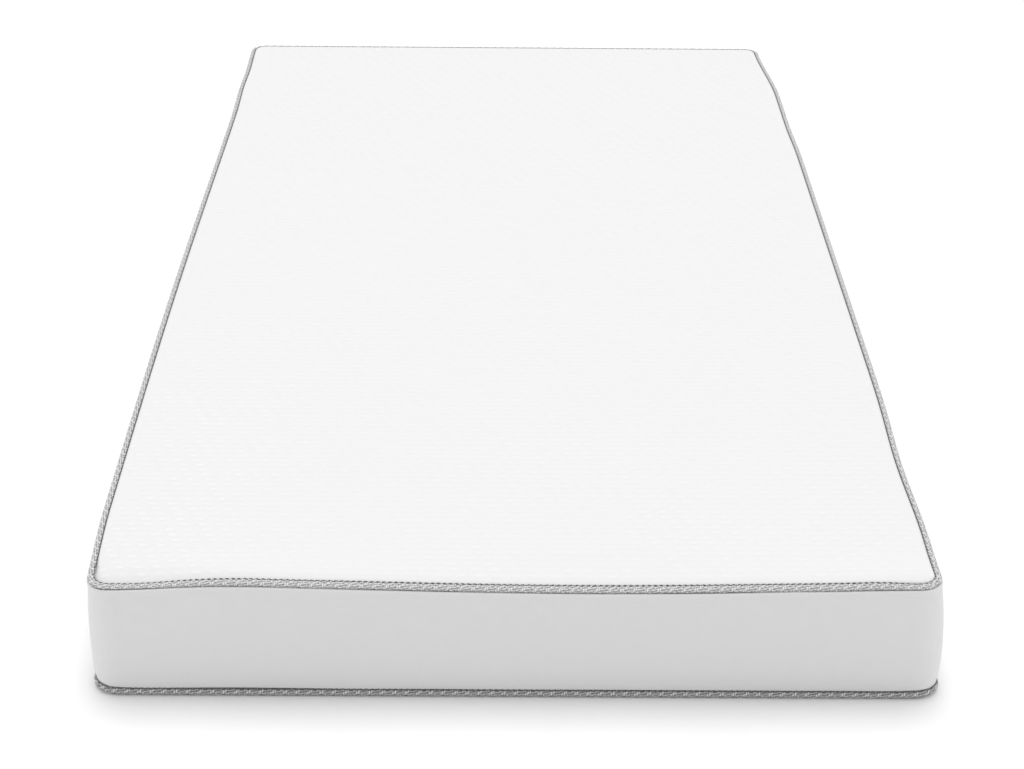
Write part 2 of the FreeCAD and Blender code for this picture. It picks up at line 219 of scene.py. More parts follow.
def makePiece(name, points, faces, material, replaces=(), coords=None, smooth=True):
    mesh = bpy.data.meshes.new(name)
    mesh.from_pydata(np.asarray(points, float).tolist(), [], [list(f) for f in faces])
    form = bmesh.new()
    form.from_mesh(mesh)
    bmesh.ops.recalc_face_normals(form, faces=form.faces)  # every piece is closed, and faces outward
    form.to_mesh(mesh)
    form.free()
    mesh.polygons.foreach_set("use_smooth", [smooth] * len(mesh.polygons))
    if coords is not None:
        layer = mesh.attributes.new("clothCoord", "FLOAT_VECTOR", "POINT")
        layer.data.foreach_set("vector", np.asarray(coords, np.float32).ravel())
    for m in material if isinstance(material, (list, tuple)) else [material]:
        mesh.materials.append(m)
    piece = addObject(name, mesh)
    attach(piece, "mattress")
    if replaces:
        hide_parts(*replaces)
    return piece


# finishes
class finishNodes:
    def __init__(self, name, **shader):
        self.material = bpy.data.materials.new(name)
        self.material.use_nodes = True
        self.tree = self.material.node_tree
        self.shader = self.tree.nodes["Principled BSDF"]
        for socket, value in shader.items():
            self.shader.inputs[socket.replace("_", " ")].default_value = value

    def add(self, kind, inputs=(), **settings):
        node = self.tree.nodes.new(kind)
        for key, value in settings.items():
            setattr(node, key, value)
        for key, value in dict(inputs).items():
            self.feed(node.inputs[key], value)
        return node

    def feed(self, socket, value):
        if isinstance(value, bpy.types.NodeSocket):
            self.tree.links.new(value, socket)
        else:
            socket.default_value = value

    def math(self, operation, a, b=0.0, c=0.0, clamp=False):
        node = self.add("ShaderNodeMath", {0: a, 1: b, 2: c}, operation=operation)
        node.use_clamp = clamp
        return node.outputs[0]

    def times(self, a, b):
        return self.math("MULTIPLY", a, b)

    def timesPlus(self, a, b, c, clamp=False):
        return self.math("MULTIPLY_ADD", a, b, c, clamp)

    def wave(self, turns):
        return self.math("SINE", self.times(turns, 2 * math.pi))

    def coord(self):
        # place on the cloth, in metres, kept with the mesh
        node = self.add("ShaderNodeAttribute", attribute_name="clothCoord")
        split = self.add("ShaderNodeSeparateXYZ", {0: node.outputs["Vector"]})
        return node.outputs["Vector"], split.outputs[0], split.outputs[1]

    def place(self):
        return self.add("ShaderNodeTexCoord").outputs["Object"]

    def noise(self, vector, scale, detail=2.0, roughness=0.5):
        settings = {"Vector": vector, "Scale": scale, "Detail": detail, "Roughness": roughness}
        return self.add("ShaderNodeTexNoise", settings).outputs[0]

    def mix(self, factor, dark, light):
        node = self.add("ShaderNodeMix", data_type="RGBA")
        self.feed(node.inputs["Factor"], factor)
        self.feed(node.inputs[6], dark)
        self.feed(node.inputs[7], light)
        return node.outputs[2]

    def bump(self, heightSocket, distance, strength=1.0, below=None):
        settings = {"Height": heightSocket, "Distance": distance, "Strength": strength}
        node = self.add("ShaderNodeBump", settings)
        if below is not None:
            self.feed(node.inputs["Normal"], below)
        return node.outputs[0]

    def knit(self, u, v, wale, course):
        # columns of V-shaped loops: each half of a wale leans the other way
        fold = self.math("PINGPONG", self.times(u, 1 / wale), 0.5)
        slant = self.timesPlus(fold, 0.9, self.times(v, 1 / course))
        return self.timesPlus(self.wave(slant), 0.35, self.times(self.wave(fold), 0.65))

    def finished(self, colour, normal):
        self.feed(self.shader.inputs["Base Color"], colour)
        self.feed(self.shader.inputs["Normal"], normal)
        return self.material


def grey(value, warm=0.0):
    return (value * (1 + warm), value, value * (1 - warm), 1)


raised = {
    "period": 0.0215,  # dash to dash along a row
    "row": 0.0118,  # row to row
    "shift": 0.25,  # how far each row starts behind the last, as a share of the period
    "dash": 0.0115,  # length of a dash
    "dashWidth": 0.0048,
    "relief": 0.0011,  # height of a dash
    "level": 0.0036,  # half the length that stays level on top
    "fallAlong": 0.0036,  # and how it falls away past that
    "fallAcross": 0.0034,
    "ground": 0.722,
    # the dashes' lighter tone is painted highlight
    "dashHighlightTone": 0.80,
}


def dashProfile(mat, u, v):
    # 0 to 1 over one dash, as nodes, and the number of its row
    row = mat.math("FLOOR", mat.times(v, 1 / raised["row"]))
    along = mat.math("FRACT", mat.timesPlus(row, raised["shift"], mat.times(u, 1 / raised["period"])))
    across = mat.math("FRACT", mat.times(v, 1 / raised["row"]))
    x = mat.math("ABSOLUTE", mat.times(mat.math("SUBTRACT", along, 0.5), raised["period"]))
    y = mat.math("ABSOLUTE", mat.times(mat.math("SUBTRACT", across, 0.5), raised["row"]))
    x = mat.math("MAXIMUM", mat.math("SUBTRACT", x, (raised["dash"] - raised["dashWidth"]) / 2), 0.0)
    reach = mat.math("SQRT", mat.math("ADD", mat.times(x, x), mat.times(y, y)))
    return mat.timesPlus(reach, -4.4 / raised["dashWidth"], 2.2, clamp=True), row


def raisedKnit():
    mat = finishNodes("raisedKnit", Roughness=0.88, Sheen_Weight=0.12, Sheen_Roughness=0.6,
                      Specular_IOR_Level=0.25)
    vector, u, v = mat.coord()
    dash, row = dashProfile(mat, u, v)
    column = mat.math("FLOOR", mat.timesPlus(row, raised["shift"], mat.times(u, 1 / raised["period"])))
    cell = mat.add("ShaderNodeCombineXYZ", {0: column, 1: row})
    chance = mat.add("ShaderNodeTexWhiteNoise", {"Vector": cell.outputs[0]}).outputs["Value"]
    # painted highlight on the dashes: its strength differs from dash to dash and comes and goes in random
    # patches
    highlightPatches = mat.timesPlus(mat.noise(vector, 3.1, 2.0), 3.0, -0.85, clamp=True)
    # the dashes are painted lighter than the ground: painted highlight, for the light their raised tops
    # catch. This painted highlight is clearest at the left foot corner and fades towards the head end and the
    # right
    highlightFade = mat.timesPlus(u, -0.61, mat.timesPlus(v, -0.41, 0.335))
    highlightFade = mat.math("MINIMUM", mat.math("MAXIMUM", highlightFade, 0.2), 1.0)
    strength = mat.times(mat.timesPlus(chance, 0.65, 0.35), mat.times(highlightPatches, highlightFade))
    dashHighlightAndRelief = mat.times(mat.math("SMOOTH_MIN", dash, 0.9, 0.3), strength)
    # the dashes take the painted highlight tone over the ground; the same mask also raises them by bump
    tone = mat.mix(dashHighlightAndRelief, grey(raised["ground"]), grey(raised["dashHighlightTone"]))
    tone = mat.mix(mat.times(mat.noise(vector, 5.0, 3.0), 0.06), tone, grey(0.65))
    fine = mat.bump(mat.knit(u, v, 0.0013, 0.0011), 0.00012, 0.6)
    return mat.finished(tone, mat.bump(dashHighlightAndRelief, 0.0006, 0.7, fine))


def borderKnit():
    mat = finishNodes("borderKnit", Roughness=0.9, Sheen_Weight=0.1, Sheen_Roughness=0.6,
                      Specular_IOR_Level=0.2)
    vector, u, v = mat.coord()
    stitches = mat.knit(u, v, 0.0014, 0.0012)
    tone = mat.mix(mat.noise(vector, 60.0, 4.0, 0.6), grey(0.684), grey(0.716))
    tone = mat.mix(mat.timesPlus(stitches, 0.04, 0.04), tone, grey(0.58))
    # the cloth is pulled by its top seam into faint lines that lie along it
    streaks = mat.add("ShaderNodeCombineXYZ", {0: mat.times(u, 9.0), 1: mat.times(v, 150.0)})
    nearSeam = mat.timesPlus(v, 1 / 0.022, -0.118 / 0.022, clamp=True)
    pull = mat.times(mat.noise(streaks.outputs[0], 1.0, 2.0, 0.4), nearSeam)
    fine = mat.bump(stitches, 0.00014, 0.6)
    soft = mat.bump(mat.noise(vector, 22.0, 3.0), 0.0006, 0.25, fine)
    return mat.finished(tone, mat.bump(pull, 0.0022, 0.6, soft))


def ropeYarn(name, light, dark):
    # each strand is laid from a light and a dark ply that show as short slanting stripes
    mat = finishNodes(name, Roughness=0.75, Sheen_Weight=0.15, Sheen_Roughness=0.5, Specular_IOR_Level=0.3)
    _, u, v = mat.coord()
    plies = mat.wave(mat.timesPlus(u, 1 / 0.0030, v))
    fuzz = mat.noise(mat.place(), 900.0, 3.0, 0.7)
    wear = mat.noise(mat.place(), 14.0, 2.0)
    colour = mat.mix(mat.timesPlus(plies, 1.2, 0.5, clamp=True), grey(dark), grey(light))
    colour = mat.mix(mat.times(fuzz, 0.25), colour, grey(light * 1.1))
    colour = mat.mix(mat.times(wear, 0.12), colour, grey(dark))
    return mat.finished(colour, mat.bump(plies, 0.00025, 0.8, mat.bump(fuzz, 0.0001, 0.4)))


def wovenTape(tone):
    mat = finishNodes("wovenTape", Roughness=0.8, Sheen_Weight=0.08, Sheen_Roughness=0.5,
                      Specular_IOR_Level=0.3)
    split = mat.add("ShaderNodeSeparateXYZ", {0: mat.place()})
    chevron = mat.times(mat.math("PINGPONG", split.outputs[2], 0.002), 1 / 0.0010)
    rib = mat.wave(mat.math("ADD", mat.times(split.outputs[0], 1 / 0.0012), chevron))
    colour = mat.mix(mat.timesPlus(rib, 0.25, 0.5), grey(tone * 0.93), grey(tone))
    return mat.finished(colour, mat.bump(rib, 0.0001, 0.7))


def undersideCloth(thread):
    mat = finishNodes("undersideCloth", Roughness=0.92, Specular_IOR_Level=0.2)
    vector, u, v = mat.coord()
    weave = mat.times(mat.math("SINE", mat.times(u, 2 * math.pi / thread)),
                      mat.math("SINE", mat.times(v, 2 * math.pi / thread)))
    fleck = mat.noise(vector, 180.0, 4.0, 0.7)
    return mat.finished(mat.mix(fleck, grey(0.60), grey(0.68)), mat.bump(weave, 0.00015, 0.6))


def plain(name, tone, roughness, grain, depth, warm=0.0, **more):
    # a moulded, painted or knitted finish: small tone changes and a grain of its own size
    mat = finishNodes(name, Roughness=roughness, **more)
    spots = mat.noise(mat.place(), grain, 4.0, 0.6)
    colour = mat.mix(spots, grey(tone * 0.93, warm), grey(tone, warm))
    return mat.finished(colour, mat.bump(spots, depth, 0.5))


def foam(name, tone, warm, cell):
    mat = finishNodes(name, Roughness=0.95, Specular_IOR_Level=0.15)
    cells = mat.add("ShaderNodeTexVoronoi", {"Vector": mat.place(), "Scale": 1 / cell})
    depth = cells.outputs["Distance"]
    cloud = mat.times(mat.noise(mat.place(), 9.0, 2.0), 0.1)
    # the cell hollows are painted darker than their rims: painted shade in the pores
    colour = mat.mix(depth, grey(tone * 0.72, warm), grey(tone, warm))
    colour = mat.mix(cloud, colour, grey(tone * 0.85, warm))
    return mat.finished(colour, mat.bump(depth, 0.0006, 0.8))


finish = {
    "raisedKnit": raisedKnit(), "borderKnit": borderKnit(),
    "ropeLight": ropeYarn("ropeLightYarn", 0.83, 0.48),
    "ropeDark": ropeYarn("ropeDarkYarn", 0.68, 0.28),
    # the bottom rope's yarns are darker copies of the top rope's: painted shade, for the shade it lies in
    # below the border
    "shadedFootLight": ropeYarn("footRopeLightYarnShaded", 0.76, 0.32),
    "shadedFootDark": ropeYarn("footRopeDarkYarnShaded", 0.46, 0.15),
    # near-black cord along the rope seams: painted shade for the shadow line there
    "shadowCord": ropeYarn("darkShadowCord", 0.18, 0.06),
    "tape": wovenTape(0.74), "underside": undersideCloth(0.0018),
    "grip": plain("gripDots", 0.52, 0.45, 400.0, 0.00005),
    "barrier": plain("barrierKnit", 0.80, 0.95, 700.0, 0.0003, 0.02),
    "memoryFoam": foam("memoryFoam", 0.80, 0.05, 0.0007), "baseFoam": foam("baseFoam", 0.78, 0.02, 0.0012),
    "nylon": plain("zipNylon", 0.72, 0.35, 300.0, 0.00003),
    "metal": plain("zipEnamel", 0.62, 0.28, 60.0, 0.00002, Metallic=0.35, Coat_Weight=0.4),
    "label": plain("labelCloth", 0.76, 0.85, 900.0, 0.00006),
    "thread": plain("sewingThread", 0.76, 0.6, 1200.0, 0.00003),
}
print("finishes made:", len(finish))


# border: a strip of knit sewn in at both edges, blown out by the filling behind it
border = {
    "rows": [0.1428, 0.1435, 0.1417, 0.1380, 0.130, 0.120, 0.109, 0.097, 0.085, 0.073, 0.061, 0.049,
             0.0362, 0.0238, 0.0160, 0.0112, 0.0100],
    "zipRows": (12, 13),  # the two rows that are sewn to the zip across the head end
    "edge": 0.0040,  # where the strip is sewn, out from the middle of the piping
    "lip": (0.0, 0.0014, 0.0026),  # the top edge is rolled over its seam: how far out the first rows turn
    "bulge": 0.78,  # share of the full bulge that the strip is cut to before it fills out
    "square": 3.2,  # the higher, the flatter its middle and the tighter its edges
    "upper": 0.0012,  # extra fullness towards the top
    "step": 0.029,
    "turns": 6,
    "thickness": 0.0015,
    "pucker": 0.0004,  # unevenness of the sewing
    "cap": 0.0022,
    "pressure": 6.0,
    "frames": 16,
}


def bulgeOut(z, row):
    # the curve that the border follows from one rope to the other, full along most of its height
    rows = border["rows"]
    high, low = (cordOut + border["edge"], rows[0]), (footOut + 0.6 * border["edge"], rows[-1])
    t = min(1, (z - low[1]) / (high[1] - low[1]))
    chord = low[0] + (high[0] - low[0]) * t
    crown = plan["corner"] - (low[0] + high[0]) / 2
    out = chord + crown * (1 - abs(2 * t - 1) ** border["square"]) * border["bulge"]
    if row < len(border["lip"]):
        return max(out, high[0] + border["lip"][row])
    return out + border["upper"] * max(0, t - 0.5)


def wander(count, spacing, size):
    # smooth random drift along a closed seam
    knots = seed.normal(0, size, max(4, count // spacing))
    at = np.linspace(0, len(knots), count, endpoint=False)
    whole = at.astype(int)
    t = ease(at - whole, 0, 1)
    return knots[whole] * (1 - t) + np.roll(knots, -1)[whole] * t


def fillBorder():
    axes, normals = walk(allRound, border["step"], border["turns"])
    columns, rows = len(axes), len(border["rows"])
    cloth = np.stack([placed(axes, normals, bulgeOut(z, row), z) for row, z in enumerate(border["rows"])], 1)
    direction = xyz(np.cos(normals), np.sin(normals), 0.0)
    for edge in (0, rows - 1):
        cloth[:, edge] += direction * wander(columns, 2, border["pucker"])[:, None]
        cloth[:, edge, 2] += wander(columns, 2, border["pucker"])
    headRun = np.isclose(axes[:, 1], cornerY) & np.isclose(normals, math.pi / 2)
    pinned = [c * rows + r for c in range(columns) for r in range(rows)
              if r in (0, 1, 2, rows - 2, rows - 1) or (headRun[c] and r in border["zipRows"])]
    mesh = bpy.data.meshes.new("borderCloth")
    faces = gridFaces(columns, rows, wrapRows=True)[:, ::-1]
    mesh.from_pydata(cloth.reshape(-1, 3).tolist(), [], faces.tolist())
    sim = addObject("borderCloth", mesh)
    sim.vertex_groups.new(name="sewn").add(pinned, 1.0, "REPLACE")
    fill = sim.modifiers.new("fill", "CLOTH")
    settings = fill.settings
    settings.quality = 6
    settings.mass = 0.25
    settings.tension_stiffness = settings.compression_stiffness = 18
    settings.shear_stiffness = 6
    settings.bending_stiffness = 0.6
    settings.use_pressure = True
    settings.uniform_pressure_force = border["pressure"]
    settings.vertex_group_mass = "sewn"
    settings.effector_weights.gravity = 0
    fill.collision_settings.use_collision = False
    fill.point_cache.frame_start = 1
    fill.point_cache.frame_end = border["frames"]
    for number in range(1, border["frames"] + 1):
        scene.frame_set(number)
    evaluated = sim.evaluated_get(bpy.context.evaluated_depsgraph_get())
    filled = np.array([v.co for v in evaluated.data.vertices]).reshape(columns, rows, 3)
    moved = filled - cloth
    far = np.linalg.norm(moved, axis=2, keepdims=True)
    moved *= np.minimum(1, border["cap"] / np.maximum(far, 1e-9))
    bpy.data.objects.remove(sim)
    scene.frame_set(1)
    out = (moved * direction[:, None]).sum(2)
    print("border filled: %.1f mm at most, %.1f mm out on average" % (far.max() * 1000, out.mean() * 1000))
    return axes, normals, cloth + moved


def stripPiece(name, cloth, normals, rows, columns, replaces):
    # a closed strip: the face, both turned edges and the back, then two rounds of subdivision
    face = cloth[columns][:, rows]
    inward = -xyz(np.cos(normals[columns]), np.sin(normals[columns]), 0.0)
    back = face + inward[:, None] * border["thickness"]
    loop = np.concatenate([face, back[:, ::-1]], 1)
    count, around = loop.shape[:2]
    along = lengthAlong(face[:, len(rows) // 2])
    down = np.concatenate([np.array(border["rows"])[rows], np.array(border["rows"])[rows][::-1]])
    coords = xyz(np.repeat(along, around), np.tile(down, count), 0.0)
    faces = gridFaces(count, around, wrapColumns=True).tolist()
    last = (count - 1) * around
    for k in range(len(rows) - 1):
        end = [k, k + 1, around - 2 - k, around - 1 - k]
        faces += [end, [last + v for v in end[::-1]]]
    piece = makePiece(name, settle(loop.reshape(-1, 3)), faces, finish["borderKnit"],
                      replaces=replaces, coords=coords)
    # the two ends are creased, so that they stay square and meet the next strip in a seam
    ends = np.zeros(2 * len(piece.data.edges), int)
    piece.data.edges.foreach_get("vertices", ends)
    ring = ends.reshape(-1, 2) // around
    crease = (ring[:, 0] == ring[:, 1]) & np.isin(ring[:, 0], (0, count - 1))
    creases = piece.data.attributes.new("crease_edge", "FLOAT", "EDGE")
    creases.data.foreach_set("value", crease.astype(np.float32))
    smoother = piece.modifiers.new("smooth", "SUBSURF")
    smoother.levels = smoother.render_levels = 2


axes, normals, borderCloth = fillBorder()
aroundCount = len(axes) - round(2 * cornerX / border["step"])
allRows = list(range(len(border["rows"])))
zipTop, zipFoot = border["zipRows"]
sideColumns = list(range(aroundCount + 1))
headColumns = list(range(aroundCount, len(axes))) + [0]
stripPiece("borderFrontAndSides", borderCloth, normals, allRows, sideColumns,
           ["border_front_and_sides"])
stripPiece("borderHeadUpper", borderCloth, normals, allRows[:zipTop + 1], headColumns,
           ["border_rear_upper"])
stripPiece("borderHeadLower", borderCloth, normals, allRows[zipFoot:], headColumns,
           ["border_rear_lower"])
print("border strips made")


# flat pieces: a grid that turns the four round corners, with rings hung from its rim
def patternLines(half, spacing, shift, edge):
    count = int(half / spacing) + 2
    lines = (np.arange(-count, count + 1) + shift) * spacing
    lines = lines[np.abs(lines) < half - edge[-1] - 0.4 * spacing]
    ends = half - np.array(edge)
    return np.concatenate([-ends, lines, ends[::-1]])


def squareToCorner(x, y, radius):
    u = (np.abs(x) - cornerX) / radius
    v = (np.abs(y) - cornerY) / radius
    inside = (u > 0) & (v > 0)
    u, v = np.clip(u, 0, 1), np.clip(v, 0, 1)
    roundX = np.sign(x) * (cornerX + radius * u * np.sqrt(1 - v * v / 2))
    roundY = np.sign(y) * (cornerY + radius * v * np.sqrt(1 - u * u / 2))
    return np.where(inside, roundX, x), np.where(inside, roundY, y)


def edgeDistance(x, y, radius):
    u, v = np.abs(x) - cornerX, np.abs(y) - cornerY
    cornered = radius - np.hypot(np.maximum(u, 0), np.maximum(v, 0))
    return np.where((u > 0) & (v > 0), cornered, radius - np.maximum(u, v))


def cutSheet(reach, stepX, stepY, edge, shiftY=0.0):
    # a rectangle of cloth or foam with round corners: places on the cut, places on the mattress, faces, rim
    xs = patternLines(cornerX + reach, stepX, 0.0, edge)
    ys = patternLines(cornerY + reach, stepY, shiftY, edge)
    gridX, gridY = [g.ravel() for g in np.meshgrid(xs, ys, indexing="ij")]
    x, y = squareToCorner(gridX, gridY, reach)
    return gridX, gridY, x, y, gridFaces(len(xs), len(ys)), gridRim(len(xs), len(ys))


def ringFaces(before, after, flip=False):
    quads = np.stack([before, np.roll(before, -1), np.roll(after, -1), after], -1)
    return (quads[:, ::-1] if flip else quads).tolist()


def addRing(points, faces, before, ring):
    # one more ring of points below the last, joined to it by faces
    after = sum(len(p) for p in points) + np.arange(len(ring))
    points.append(ring)
    faces += ringFaces(before, after, flip=True)
    return after


panel = {
    "reach": 0.0186,  # where the panel meets the piping, out from the corner axis
    "shoulder": 0.015,  # width over which the panel rounds down to the piping
    "drop": 0.0044,
    "softCorner": 0.014,  # extra roll at the left foot corner
    "softDrop": 1.3,  # and extra share of the drop there
    "round": 2.4,  # the higher, the fuller the shoulder
    "softRound": 1.1,  # and how much less of that at the left foot corner
    "back": 0.1486,  # height of its lower face
    "swell": 0.0006,  # slow unevenness of the foam below
}


def dashRelief(x, y):
    row = np.floor(y / raised["row"])
    along = (x / raised["period"] + raised["shift"] * row) % 1.0
    across = (y / raised["row"]) % 1.0
    dx = np.maximum(np.abs(along - 0.5) * raised["period"] - raised["level"], 0)
    dy = np.abs(across - 0.5) * raised["row"]
    return np.clip(1 - np.hypot(dx / raised["fallAlong"], dy / raised["fallAcross"]), 0, 1)


def makeTopPanel():
    reach = panel["reach"]
    edge = [0.0, 0.0012, 0.0030, 0.0056, 0.0085]
    gridX, gridY, x, y, faces, rim = cutSheet(reach, raised["period"] / 4, raised["row"] / 3, edge, 0.5)
    inside = edgeDistance(x, y, reach)
    soft = ease(-x, 0.18, 0.42) * ease(-y, 0.88, 0.93)
    width = panel["shoulder"] + panel["softCorner"] * soft
    drop = panel["drop"] * (1 + panel["softDrop"] * soft)
    t = np.clip(1 - inside / width, 0, 1)
    fullness = panel["round"] - panel["softRound"] * soft
    z = height - drop * (1 - np.sqrt(np.maximum(0, 1 - t ** fullness)))
    z += raised["relief"] * dashRelief(gridX, gridY) * ease(inside, 0.004, 0.014)
    z += panel["swell"] * (np.sin(5.1 * x + 1.3) * np.sin(3.7 * y + 0.4) - 1) * ease(inside, 0.0, 0.12)
    points, coords = [xyz(x, y, z)], [xyz(gridX, gridY, 0.0)]
    faces = faces[:, ::-1].tolist()
    before, back = rim, panel["back"]
    # the edge turns in under the piping, then rises to the level back
    hem = [(reach - 0.0006, topSeam - 0.0002), (reach - 0.0090, topSeam), (reach - 0.0110, back - 0.0016),
           (0.0005, back)]
    for out, level in hem:
        hemX, hemY = outward(x[rim], y[rim], out)
        coords.append(xyz(hemX, hemY, 0.0))
        before = addRing(points, faces, before, xyz(hemX, hemY, level))
    faces.append(before.tolist())
    points = settle(np.concatenate(points))
    points[-len(rim):, 2] = back  # the back of the panel stays level
    piece = makePiece("topPanel", points, faces, finish["raisedKnit"],
                      replaces=["top_panel"], coords=np.concatenate(coords))
    print("top panel made:", len(faces), "faces")


makeTopPanel()


# piping: eight flat yarns braided round a core
def flatShare(path, z):
    # how much of its height the top piping loses at its flat spots along the foot end
    flat = sum(share * hump(path[:, 0], x, width) for x, width, share in plan["flatSpots"])
    return flat * ease(-path[:, 1], 0.90, 0.94) * (z > height / 2)


rope = {
    "strands": 4,  # each way round
    "pitch": 0.028,  # one turn of a yarn
    "step": 0.0020,
    "yarnWidth": 0.0042,
    "yarnThickness": 0.0016,
    "weave": 0.00045,  # how far a yarn goes over and under
    "sunk": 0.0003,  # how deep the yarns lie in the core
}


def ropePath(out, z, step, turns):
    axes, normals = walk(allRound, 0.02, turns)
    coarse = settle(placed(axes, normals, out, z))
    coarse = np.vstack([coarse, coarse[:1]])
    along = lengthAlong(coarse)
    count = round(along[-1] / step)
    at = np.linspace(0, along[-1], count, endpoint=False)
    path = pointsAt(coarse, along, at)
    for _ in range(3):
        path = (np.roll(path, 1, 0) + 2 * path + np.roll(path, -1, 0)) / 4
    return path, along[-1]


def heading(path):
    return unit(np.roll(path, -1, 0) - np.roll(path, 1, 0))


def ringsRound(path, radius, side, rise, count):
    # the rings of a tube along a path
    angles = np.radians(np.arange(0, 360, 360 // count))
    return np.stack([path + radius * (math.cos(a) * side + math.sin(a) * rise) for a in angles], 1)


def braid(name, out, z, thick, yarns, replaces):
    path, total = ropePath(out, z, rope["step"], 10)
    count = len(path)
    side = unit(np.cross(heading(path), [0, 0, 1.0]))
    rise = np.cross(side, heading(path))
    s = np.arange(count) / count
    turnCount = round(total / rope["pitch"])
    flatten = flatShare(path, z)
    points, faces, coords, kinds = [], [], [], []
    section = [(math.cos(a), math.sin(a)) for a in np.radians([0, 90, 180, 270])]
    ride = thick - rope["yarnThickness"] / 2 - rope["weave"] / 2
    first = 0
    for hand in (1, -1):
        for k in range(rope["strands"]):
            late = 0 if hand > 0 else math.pi / rope["strands"]
            turn = hand * 2 * math.pi * (turnCount * s + k / rope["strands"]) + late
            crossing = 2 * rope["strands"] * math.pi * turnCount * s + k * math.pi
            over = np.sin(crossing + (0 if hand > 0 else math.pi))
            radius = ride + rope["weave"] * over
            around = np.cos(turn)[:, None] * side + np.sin(turn)[:, None] * rise
            centre = path + radius[:, None] * around
            flat = unit(np.cross(heading(centre), around))
            ring = [centre + flat * c * rope["yarnWidth"] / 2 + around * d * rope["yarnThickness"] / 2
                    for c, d in section]
            ring = np.stack(ring, 1)
            ring[:, :, 2] -= flatten[:, None] * (ring[:, :, 2] - path[:, None, 2] + thick / 2)
            points.append(ring.reshape(-1, 3))
            faces.append(gridFaces(count, len(section), True, True, first))
            first += count * len(section)
            kinds += [0 if hand > 0 else 1] * (count * len(section))
            across = np.tile([1.0, 0.5, 0.0, 0.5], count)
            coords.append(xyz(np.repeat(s * total, len(section)), across, 0.0))
    core, sides = path[::6], 8
    reach = thick - rope["yarnThickness"] + rope["sunk"]
    ring = ringsRound(core, reach, side[::6], rise[::6], sides)
    ring[:, :, 2] -= flatten[::6, None] * (ring[:, :, 2] - core[:, None, 2] + thick / 2)
    points.append(ring.reshape(-1, 3))
    faces.append(gridFaces(len(core), sides, True, True, first))
    kinds += [1] * (len(core) * sides)
    coords.append(np.zeros((len(core) * sides, 3)))
    piece = makePiece(name, np.concatenate(points), np.concatenate(faces), [finish[y] for y in yarns],
                      replaces=replaces, coords=np.concatenate(coords))
    piece.data.polygons.foreach_set("material_index", kinds)
    print(name, "made:", len(kinds), "faces,", round(total, 3), "m long")


# sizes of the dark cord that paints the shadow line along the rope seams
shadowCord = {
    "topThick": 0.00074,
    "footThick": 0.00052,
    "swell": 0.45,  # share that it is thicker at each turn
    "sideSlim": 0.32,  # share that it is drawn finer along the sides
    "turn": 0.0068,
    "rock": 0.0004,  # how far each turn stands up
    "step": 0.0017,
}


def darkShadowCord(name, out, z, thick):
    # a thin near-black cord that swells at every turn, laid along the seam beside the rope: it stands in for
    # the shadow line in the gap between the rope and the cloth, so its tone is painted shade
    path, total = ropePath(out, z, shadowCord["step"], 10)
    path[:, 2] -= flatShare(path, z) * 1.5 * plan["rope"]
    count = len(path)
    turns = round(total / shadowCord["turn"])
    phase = 2 * math.pi * turns * np.arange(count) / count
    side = np.cross(heading(path), [0, 0, 1.0])
    rise = np.cross(side, heading(path))
    pulled = 1 - shadowCord["sideSlim"] * ease(np.abs(path[:, 0]), 0.44, 0.48)
    radius = (thick * pulled * (1 + shadowCord["swell"] * np.cos(phase)))[:, None]
    wobble = shadowCord["rock"] * np.cos(phase)[:, None] * rise
    rings = ringsRound(path + wobble, radius, side, rise, 6)
    coords = xyz(np.repeat(np.arange(count) * total / count, 6), np.tile(np.arange(6) / 6, count), 0.0)
    makePiece(name, rings.reshape(-1, 3), gridFaces(count, 6, True, True), finish["shadowCord"],
              coords=coords)


braid("topPipingRope", cordOut, topSeam, plan["rope"], ("ropeLight", "ropeDark"), ["top_piping_cord"])
# the bottom rope takes the darker yarn copies, painted shade
braid("bottomPipingRope", footOut + 0.0006, footSeam, cordRadius, ("shadedFootLight", "shadedFootDark"),
      ["bottom_piping_cord"])
# near-black cords beside both ropes: painted shade for the seam gaps
darkShadowCord("topDarkShadowCord", cordOut - 0.0036, topSeam + 0.0030, shadowCord["topThick"])
darkShadowCord("bottomDarkShadowCord", footOut + 0.0030, footSeam + cordRadius, shadowCord["footThick"])


# what is sewn in behind the piping, and the filling
tape = {"outer": 0.004, "inner": 0.0155, "thickness": 0.0007}  # reach in from the middle of the piping


def makePipingTape(name, node, middle, top):
    outer, inner, low = middle - tape["outer"], middle - tape["inner"], top - tape["thickness"]
    profile = [(inner, top), (outer, top), (outer, low), (inner, low)]
    axes, normals = walk(allRound, 0.03, 8)
    loop = np.stack([placed(axes, normals, out, z) for out, z in profile], 1)
    faces = gridFaces(len(axes), len(profile), True, True)
    makePiece(name, settle(loop.reshape(-1, 3)), faces, finish["tape"], replaces=[node])


def packedBlock(name, profile, material, replaces, recess=None):
    # top sheet, rings down the sides, bottom sheet
    top, foot = profile[0], profile[-1]
    _, _, x, y, faces, rim = cutSheet(top[0], 0.06, 0.06, [0.0, 0.004])
    points = [xyz(x, y, top[1])]
    allFaces = faces[:, ::-1].tolist()
    before = rim
    for out, z in profile[1:-1]:
        ringX, ringY = outward(x[rim], y[rim], out)
        if recess:
            inZip = (ringY > cornerY) & (np.abs(ringX) < recess["end"]) & (recess["low"] < z < recess["high"])
            ringY = np.where(inZip, recess["back"], ringY)
        before = addRing(points, allFaces, before, xyz(ringX, ringY, z))
    footX, footY = x.copy(), y.copy()
    footX[rim], footY[rim] = outward(x[rim], y[rim], foot[0])
    start = sum(len(p) for p in points)
    points.append(xyz(footX, footY, foot[1]))
    allFaces += (faces + start).tolist()
    allFaces += ringFaces(before, start + rim, flip=True)
    points = settle(np.concatenate(points))
    piece = makePiece(name, points, allFaces, material, replaces=replaces, smooth=False)


